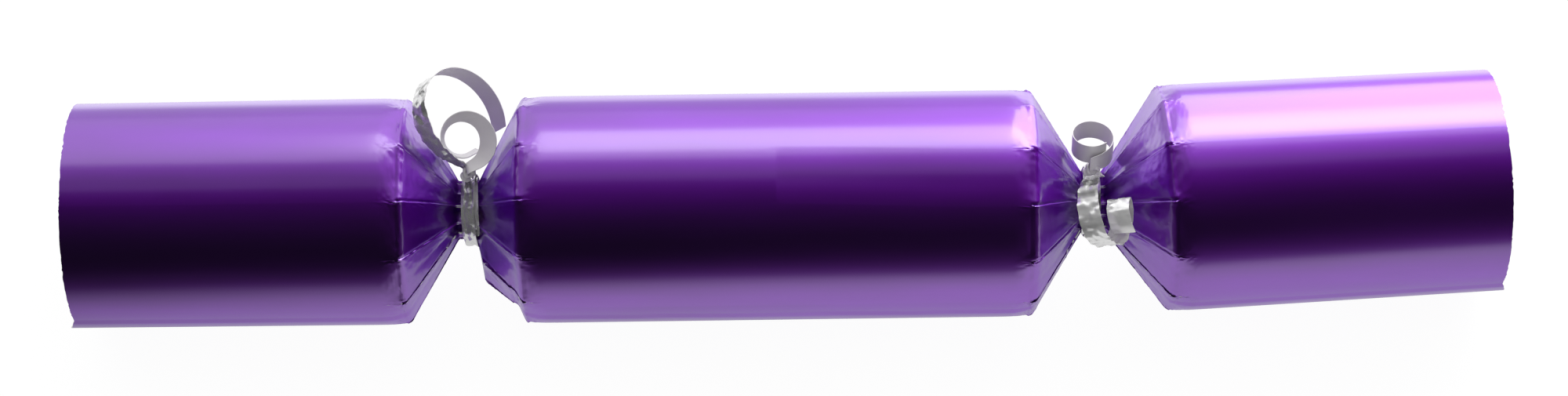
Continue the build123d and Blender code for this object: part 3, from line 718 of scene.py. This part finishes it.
def foilTree(name, half):
    numbers = {key: half[key] for key in halfKeys}
    columns = columnsPerFacet * facets + 1
    board, given = geometryTree(name, {**wrap, **numbers, "Columns": columns, "Material": None})
    grid = board.node("GeometryNodeMeshGrid", None, {0: 1.0, 1: 1.0, 2: given["Columns"], 3: given["Rows"]})
    x, y, _ = board.parts(board.node("GeometryNodeInputPosition"))
    u, v = x + 0.5, y + 0.5
    neck, radius = given["Neck"], given["Radius"]
    # distance from the tie: close rows on the choke and beside its fold
    choke, beside, run = fold["chokeRows"], fold["besideRows"], fold["besideRun"]
    far = v.span(0.0, choke) * neck + v.span(choke, beside) * run
    far = far + v.span(beside, 1.0) * (given["Length"] - run)
    slope = (far / neck).held()
    past = (far - neck).most(0.0)
    barrel = far.above(neck - 0.001)
    # which pleat, and where across it
    pleat = u * float(facets)
    column = (pleat + fold["nudge"]).whole()
    part = (pleat - column).held()
    part = part - (part * math.tau).sine() * (fold["crowd"] / math.tau)

    def wrapped(index):
        return index - (index / float(facets) + fold["wholeNudge"]).whole() * float(facets)

    low, nextOne = wrapped(column), wrapped(column + 1.0)
    turned = past.span(fold["turnFrom"], given["Length"], 0.0, 1.0, True)
    phase = given["Phase"] + (given["Far Phase"] - given["Phase"]) * turned
    gather = (1.0 - slope) ** fold["gatherPower"]

    def corner(index, ahead):
        base = column + ahead
        bend = base * (360.0 / facets) + phase + board.table(index, half["twist"]) * gather
        return bend * (math.pi / 180)

    one, other = corner(low, 0.0), corner(nextOne, 1.0)
    # crease radius: bundle under the tie, slope, scored band at the fold, barrel
    bandFrom, narrow, sunk = neck - given["Fold Band"], given["Neck Radius"], given["Fold Drop"]
    crease = narrow + (radius - sunk - narrow) * far.span(given["Bundle"], bandFrom)
    crease = crease + sunk * far.span(bandFrom, neck)
    crease = crease - (radius - given["Mouth Radius"]) * past / given["Length"]
    rise, top, end = fold["swell"]
    swell = slope.span(rise, top) * slope.span(top, end, 1.0, 0.0)
    swell = swell - slope.hump(*fold["dip"]) * fold["dipDepth"]

    def reached(index):
        return crease + board.table(index, half["bulge"]) * swell

    rOne, rOther = reached(low), reached(nextOne)
    flatY = one.cosine() * rOne * (1.0 - part) + other.cosine() * rOther * part
    flatZ = one.sine() * rOne * (1.0 - part) + other.sine() * rOther * part
    angle = one + (other - one) * part
    settle = 1.0 - past.span(0.0, given["Settle"], 1.0, 0.0) ** fold["settlePower"]
    roundY, roundZ = angle.cosine() * crease, angle.sine() * crease
    # inward: the valley of each pleat, a step beside each crease, the score line, crow's feet
    at = board.table(low, half["shift"])
    tent = (part / at).least((1.0 - part) / (1.0 - at))
    fade = (1.0 - slope / board.table(low, half["reach"])).held()
    valley = board.table(low, half["depth"]) * fade * tent
    wide = crease * fold["facetShare"]
    toOne, toOther = part * wide, (1.0 - part) * wide
    inside = slope.span(*fold["lineSpan"]) * (1.0 - barrel)
    step = (1.0 - (toOne - fold["lineAt"]).size() / fold["lineWide"]).most(0.0) * given["Pleat Line"] * inside
    score = (1.0 - (far - bandFrom).size() / fold["scoreWide"]).most(0.0) * given["Score"]
    foot = (1.0 - toOne.least(toOther) / fold["footWide"]).most(0.0) * (1.0 - past / fold["footRun"]).held()
    foot = foot * barrel * given["Crow Foot"]
    drop = given["Edge Drop"] * (1.0 - past / fold["dropRun"]).held() ** 2.0 * barrel
    seed = board.node("FunctionNodeRandomValue", {"data_type": "FLOAT"},
                      {2: 0.0, 3: seedSpread, "ID": 7, "Seed": given["Seed"]}, 1)
    grain = board.noise(board.vector(far + seed, flatY, flatZ), fold["grain"], 3.0, 0.5) - 0.5
    crumple = grain * given["Crumple"] * 2.0 * (1.0 - past / fold["crumpleRun"]).held()
    crumple = crumple * slope.span(0.0, fold["crumpleFull"])
    arch = slope.span(*fold["archRise"]) * slope.span(*fold["archFall"], 1.0, 0.0)
    pillow = (part * math.pi).sine() * board.table(low, half["pillow"]) * arch
    inward = valley + step + score * (1.0 - settle) + foot + drop + crumple - pillow
    # lapped seam along the front and its pointed corner at the mouth
    degrees = angle * (180 / math.pi)
    degrees = degrees - ((degrees + 180.0) / 360.0).whole() * 360.0
    seamLow, seamHigh = given["Seam Low"], given["Seam High"]
    lowEdge, highEdge = fold["lapEdges"]
    lap = degrees.span(seamLow - lowEdge, seamLow + lowEdge)
    lap = lap * degrees.span(seamHigh - highEdge, seamHigh + highEdge, 1.0, 0.0)
    inward = inward - lap * given["Seam Rise"] * slope.span(fold["lapFrom"], 1.0)
    middle = (one + other) / 2.0
    flatY, flatZ = flatY - middle.cosine() * inward, flatZ - middle.sine() * inward
    roundY, roundZ = roundY - angle.cosine() * inward, roundZ - angle.sine() * inward
    front = flatY + (roundY - flatY) * settle
    tall = flatZ + (roundZ - flatZ) * settle
    # along the cracker: torn teeth under the tie, a wavy rim, the corner of the seam
    torn = (u * fold["teeth"]).sine() * fold["toothDepth"] * (1.0 - v.span(0.0, fold["toothRows"]))
    torn = torn + fold["tornBack"] * (1.0 - v.span(0.0, fold["tornRows"]))
    rim = v.span(fold["rimFrom"], 1.0)
    wave = (board.noise(board.vector(front, tall, seed), fold["waveGrain"], 2.0) - 0.5) * fold["wave"]
    wave = wave * rim * given["Tab"].above(0.01)
    point = degrees.span(seamLow, seamHigh, 1.0, fold["tabLow"]) * lap
    spanX = given["Side"] * (far + torn + wave + given["Tab"] * point * rim ** 2.0)
    # into the shared frame: the front is -Y
    turn = given["Swing"] * (math.pi / 180)
    sideways = 0.0 - front
    placeX = given["Tie"] + spanX * turn.cosine() - sideways * turn.sine()
    placeY = spanX * turn.sine() + sideways * turn.cosine()
    spot = board.vector(placeX * mm, placeY * mm, (tall + axisHeight).most(0.0) * mm)  # it rests on the table
    shaped = board.node("GeometryNodeSetPosition", None, {"Geometry": grid, "Position": spot})
    marked = board.node("GeometryNodeStoreNamedAttribute", {"data_type": "FLOAT", "domain": "POINT"},
                        {"Geometry": shaped, "Name": "neck", "Value": 1.0 - past.span(0.0, fold["neckFade"])})
    closed = board.node("GeometryNodeMergeByDistance", None, {"Geometry": marked, "Distance": fold["weld"]})
    smooth = board.node("GeometryNodeSetShadeSmooth", None, [closed])
    endTree(board, smooth, given["Material"])
    return board.tree


faceSample = 97  # one face in this many is enough to tell which way they look


def outwardFaces(mesh, x):
    work = bmesh.new()
    work.from_mesh(mesh)
    work.faces.ensure_lookup_table()
    score = 0
    for face in list(work.faces)[::faceSample]:
        away = face.calc_center_median() - Vector((x * mm, 0, axisHeight * mm))
        away.x = 0
        score += 1 if face.normal.dot(away) > 0 else -1
    if score < 0:
        bmesh.ops.reverse_faces(work, faces=work.faces)
    work.to_mesh(mesh)
    work.free()


def makeHalf(name):
    half = halves[name]
    values = {key: half[key] for key in halfKeys}
    mesh = grown(name, foilTree(name + "_foil", half), {**values, "Material": foil})
    outwardFaces(mesh, half["Tie"])
    return mesh


def thickened(name, mesh):
    mesh.materials.append(paper["wrap_back"])
    return finished(name, mesh, [("SOLIDIFY", {"thickness": foilThickness * mm, "offset": -1.0,
                                               "material_offset": 1, "material_offset_rim": 1})])


for endName in ("left_end", "right_end"):
    endWrap = thickened(endName + "_foil", makeHalf(endName))
    placed(endName + "_foil", endWrap, endName, [endName + "_wrap"])
centreHalves = [makeHalf("centre_left"), makeHalf("centre_right")]
centreWrap = thickened("centre_foil", joined("centre_foil_skin", centreHalves, fold["meet"]))
placed("centre_foil", centreWrap, "barrel", ["centre_wrap"])


# contents

crinkles = {"round": 9.0, "along": 6.0}  # for each turn, and from end to end


def rollTree():
    board, given = geometryTree("rolledPaper", {
        "Core": 2.2, "Pitch": 1.0, "Turns": 4.0, "Length": 56.0, "Start": 0.0, "Crinkle": 0.1,
        "Columns": 200, "Rows": 60, "Seed": 0, "Material": None})
    grid = board.node("GeometryNodeMeshGrid", None, {0: 1.0, 1: 1.0, 2: given["Columns"], 3: given["Rows"]})
    x, y, _ = board.parts(board.node("GeometryNodeInputPosition"))
    turn = (x + 0.5) * given["Turns"]
    angle = (turn * 360.0 + given["Start"]) * (math.pi / 180)
    seed = board.node("FunctionNodeRandomValue", {"data_type": "FLOAT"},
                      {2: 0.0, 3: seedSpread, "ID": 3, "Seed": given["Seed"]}, 1)
    spread = board.vector(turn * crinkles["round"] + seed, y * crinkles["along"], 0.0)
    folds = board.noise(spread, 1.0, 3.0) - 0.5
    r = given["Core"] + turn * given["Pitch"] + folds * given["Crinkle"]
    spot = board.vector((y + 0.5) * given["Length"] * mm, angle.cosine() * r * -mm, angle.sine() * r * mm)
    shaped = board.node("GeometryNodeSetPosition", None, {"Geometry": grid, "Position": spot})
    endTree(board, board.node("GeometryNodeSetShadeSmooth", None, [shaped]), given["Material"])
    return board.tree


def moved(mesh, x, front, up):
    mesh.transform(Matrix.Translation(Vector((x, -front, axisHeight + up)) * mm))
    return mesh


rolled = rollTree()
tube = {"foil": 0.45, "gap": 0.15, "card": 0.8}  # what lies between the foil's face and the bore, in mm
bore = axisHeight - tube["foil"] - tube["gap"] - tube["card"]
hat = {"Core": 2.2, "Pitch": 1.0, "Turns": 4.0, "Length": 56.0, "Start": 0.0, "Crinkle": 0.5, "Columns": 240,
       "Rows": 70, "Seed": 4, "thickness": 0.2, "x": -48.0, "angle": -122, "halfSheet": 0.25, "slack": 0.1,
       "elastic": 1.0, "clearance": 0.2}
hatRadius = hat["Core"] + hat["Turns"] * hat["Pitch"] + hat["halfSheet"] + hat["slack"]
hatReach = bore - hat["clearance"] - hatRadius - hat["elastic"]
hatFront = hatReach * math.cos(math.radians(hat["angle"]))
hatUp = hatReach * math.sin(math.radians(hat["angle"]))
mottoGap = 0.35  # from the bore to the middle of the sheet, in mm
motto = {"Core": bore - mottoGap, "Pitch": 0.0, "Turns": 52 / 360, "Length": 60.0, "Start": -78.0,
         "Crinkle": 0.15, "Columns": 60, "Rows": 60, "Seed": 8, "thickness": 0.12, "x": -48.0}


def makeRoll(name, mesh, sheet, slot, node, front, up):
    roll = moved(grown(mesh, rolled, {**sheet, "Material": paper[slot]}), sheet["x"], front, up)
    roll = finished(mesh, roll, [("SOLIDIFY", {"thickness": sheet["thickness"] * mm, "offset": 0.0})])
    placed(name, roll, "barrel", [node])


makeRoll("paper_hat_roll", "hat_roll", hat, "hat_tissue", "paper_hat", hatFront, hatUp)
makeRoll("motto_sheet", "motto_sheet", motto, "motto_paper", "motto_slip", 0.0, 0.0)
elastic = {"Ring": 7.05, "Wire": 0.5, "x": -20.0, "steps": 96, "sides": 12}


def elasticTree():
    inputs = {"Ring": elastic["Ring"], "Wire": elastic["Wire"], "Material": None}
    board, given = geometryTree("elasticRing", inputs)
    circle = "GeometryNodeCurvePrimitiveCircle"
    ring = board.node(circle, None, {"Resolution": elastic["steps"], "Radius": given["Ring"] * mm})
    cross = board.node(circle, None, {"Resolution": elastic["sides"], "Radius": given["Wire"] * mm})
    swept = board.node("GeometryNodeCurveToMesh", None, {"Curve": ring, "Profile Curve": cross})
    upright = board.node("GeometryNodeTransform", None,
                         {"Geometry": swept, "Rotation": (0.0, math.pi / 2, 0.0)})
    endTree(board, board.node("GeometryNodeSetShadeSmooth", None, [upright]), given["Material"])
    return board.tree


ringMesh = grown("elastic_ring", elasticTree(), {"Material": paper["elastic"]})
moved(ringMesh, elastic["x"], hatFront, hatUp)
placed("elastic_ring", ringMesh, "barrel", ["hat_elastic"])

cadFinish = {"left_end_tube": "tube_card", "centre_tube": "tube_card", "right_end_tube": "tube_card",
             "snap_strip_left": "snap_card", "snap_strip_right": "snap_card", "snap_sleeve": "sleeve_paper",
             "snap_charge": "charge_dab", "snap_friction_pad": "rough_pad", "gift_top": "top_wheel",
             "gift_peg": "top_peg"}
for nodeName, finish in cadFinish.items():
    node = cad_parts[nodeName]
    node.data.materials.clear()
    node.data.materials.append(paper[finish])
print("contents made")


# floor and light

floorLook = {"colour": (0.85, 0.85, 0.85, 1), "slant": 0.45, "shade": (-0.21, -0.055), "levels": (0.02, 0.7),
             "glowAt": 0.078, "glowWide": 0.055, "glow": 0.95, "white": 1.03, "flat": 0.92, "reach": 2}


def floorFinish(look):
    material = bpy.data.materials.new("pale_floor")
    material.use_nodes = True
    board = Board(material.node_tree)
    nodes = material.node_tree.nodes
    nodes.remove(nodes["Principled BSDF"])
    diffuse = board.node("ShaderNodeBsdfDiffuse", None, {"Color": look["colour"]})
    paths = board.node("ShaderNodeLightPath").socket.node.outputs
    seen = Wire(board, paths["Is Camera Ray"])
    shiny = Wire(board, paths["Is Glossy Ray"])
    clear = Wire(board, paths["Is Transmission Ray"])
    x, y, _ = board.parts(board.node("ShaderNodeTexCoord", None, (), "Object"))
    # painted shade on the floor towards the front and a painted pool of light close behind the cracker, which
    # only shiny and clear rays see
    lit = (y + x * look["slant"]).span(*look["shade"], *look["levels"], True)
    lit = lit + y.hump(look["glowAt"], look["glowWide"]) * look["glow"]
    strength = lit * (1.0 - seen) + seen * look["white"]
    glow = board.node("ShaderNodeEmission", None, {"Color": (1, 1, 1, 1), "Strength": strength})
    share = seen * look["flat"] + shiny + clear
    mix = board.node("ShaderNodeMixShader", None, {0: share.least(1.0), 1: diffuse, 2: glow})
    material.node_tree.links.new(mix.socket, nodes["Material Output"].inputs["Surface"])
    return material


floorMesh = bpy.data.meshes.new("floor")
edge = floorLook["reach"]
corners = [(-edge, -edge, 0), (edge, -edge, 0), (edge, edge, 0), (-edge, edge, 0)]
floorMesh.from_pydata(corners, [], [(0, 1, 2, 3)])
floorMesh.materials.append(floorFinish(floorLook))
floor = bpy.data.objects.new("floor", floorMesh)
scene.collection.objects.link(floor)

world = bpy.data.worlds.new("studio")
scene.world = world
world.use_nodes = True
sky = Board(world.node_tree)
backdrop = world.node_tree.nodes["Background"]
backdrop.inputs["Color"].default_value = (1, 1, 1, 1)
skyPaths = sky.node("ShaderNodeLightPath").socket.node.outputs
skySeen, skyFill = Wire(sky, skyPaths["Is Camera Ray"]), Wire(sky, skyPaths["Is Diffuse Ray"])
skyLook = {"fill": 0.7, "least": 0.01}  # fill for matt surfaces, and what the foil mirrors
skyLevel = (skySeen + skyFill * skyLook["fill"]).most(skyLook["least"])
sky.tree.links.new(skyLevel.socket, backdrop.inputs["Strength"])

lamps = {
    "far_wall": {"at": (0.0, 0.655, 0.46), "to": (0.0, 0.0, 0.03), "size": (2.4, 1.02), "radiance": 0.88},
    "far_softbox": {"at": (0.2, 0.51, 0.54), "to": (0.2, 0.0, 0.03), "size": (0.7, 0.33), "radiance": 1.75},
    "ceiling": {"at": (0.0, 0.24, 0.95), "to": (0.0, 0.24, 0.0), "size": (2.4, 0.44), "radiance": 0.18},
    "right_panel": {"at": (0.31, 0.25, 0.175), "to": (0.31, 0.0, 0.175), "size": (0.44, 0.34),
                    "radiance": 2.1},
}
for lampName, lamp in lamps.items():
    data = bpy.data.lights.new(lampName, "AREA")
    data.shape = "RECTANGLE"
    data.size, data.size_y = lamp["size"]
    data.energy = lamp["radiance"] * lamp["size"][0] * lamp["size"][1] * math.pi
    light = bpy.data.objects.new(lampName, data)
    light.location = lamp["at"]
    aim = Vector(lamp["to"]) - Vector(lamp["at"])
    light.rotation_euler = aim.to_track_quat("-Z", "Y").to_euler()
    light.visible_camera = False
    scene.collection.objects.link(light)
scene.view_settings.view_transform = "Standard"
print("stage lit")
